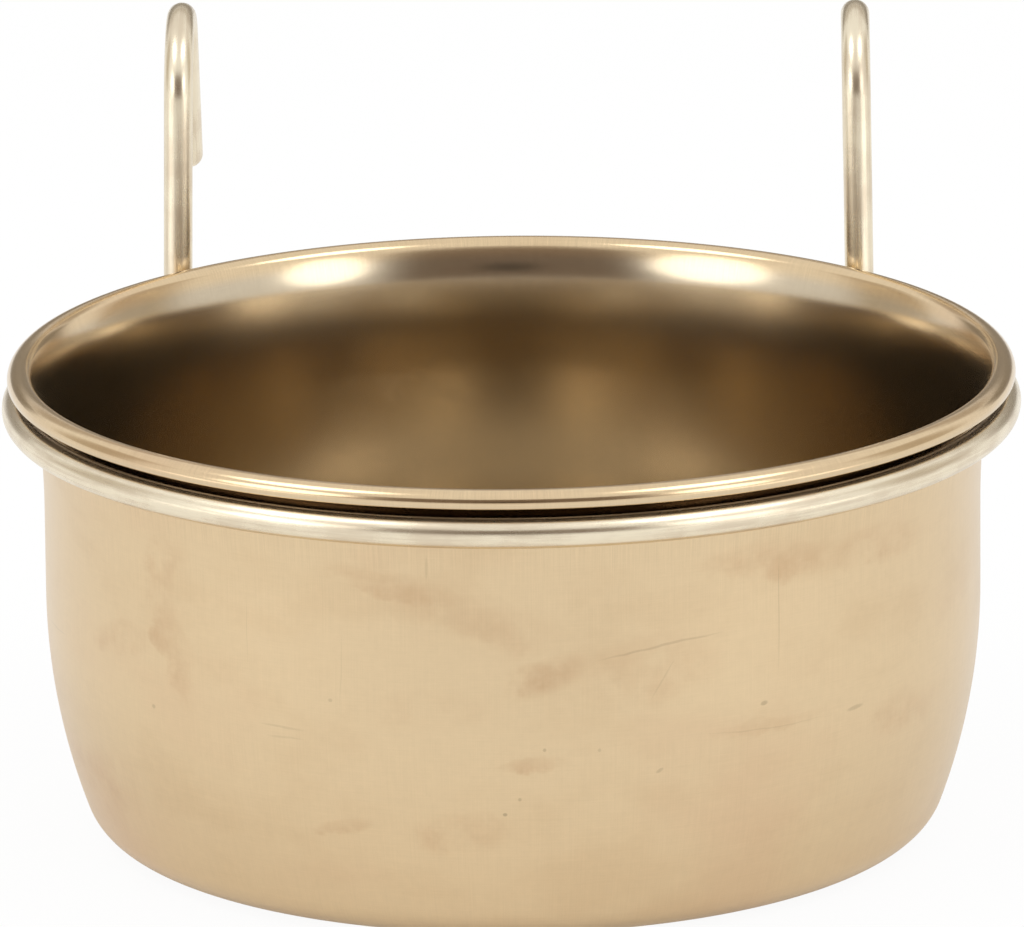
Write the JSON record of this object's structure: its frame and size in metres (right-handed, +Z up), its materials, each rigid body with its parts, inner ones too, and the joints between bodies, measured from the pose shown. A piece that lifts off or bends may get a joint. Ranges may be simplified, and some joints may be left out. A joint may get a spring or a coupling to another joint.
{
  "type": "seed cup",
  "caption": "Deep-drawn steel seed cup with a rolled rim, hanging in a wire ring holder with hooks that arch back over a cage bar.",
  "frame": {"origin": "centre of the cup's flat base, on the cup's axis", "axes": "+Z up along the cup's axis, +Y towards the hooks at the back, +X to the right seen from the front"},
  "size_m": [0.1212, 0.1406, 0.0866],
  "materials": {
    "cup_steel": "satin drawn stainless steel with fine vertical hairlines and a warm tint",
    "wire_steel": "bright drawn stainless steel wire",
    "weld_steel": "weld bead with a faint heat tint"
  },
  "bodies": {
    "holder": {"ring_wire": "wire_steel", "ring_seam_weld": "weld_steel", "left_hook": "wire_steel", "right_hook": "wire_steel", "left_weld": "weld_steel", "right_weld": "weld_steel"},
    "cup": {"cup": "cup_steel"}
  },
  "joints": [
    {"name": "cup_lift", "type": "slide", "parent": "holder", "child": "cup", "axis": [0, 0, 1], "range_m": [0, 0.065]}
  ]
}
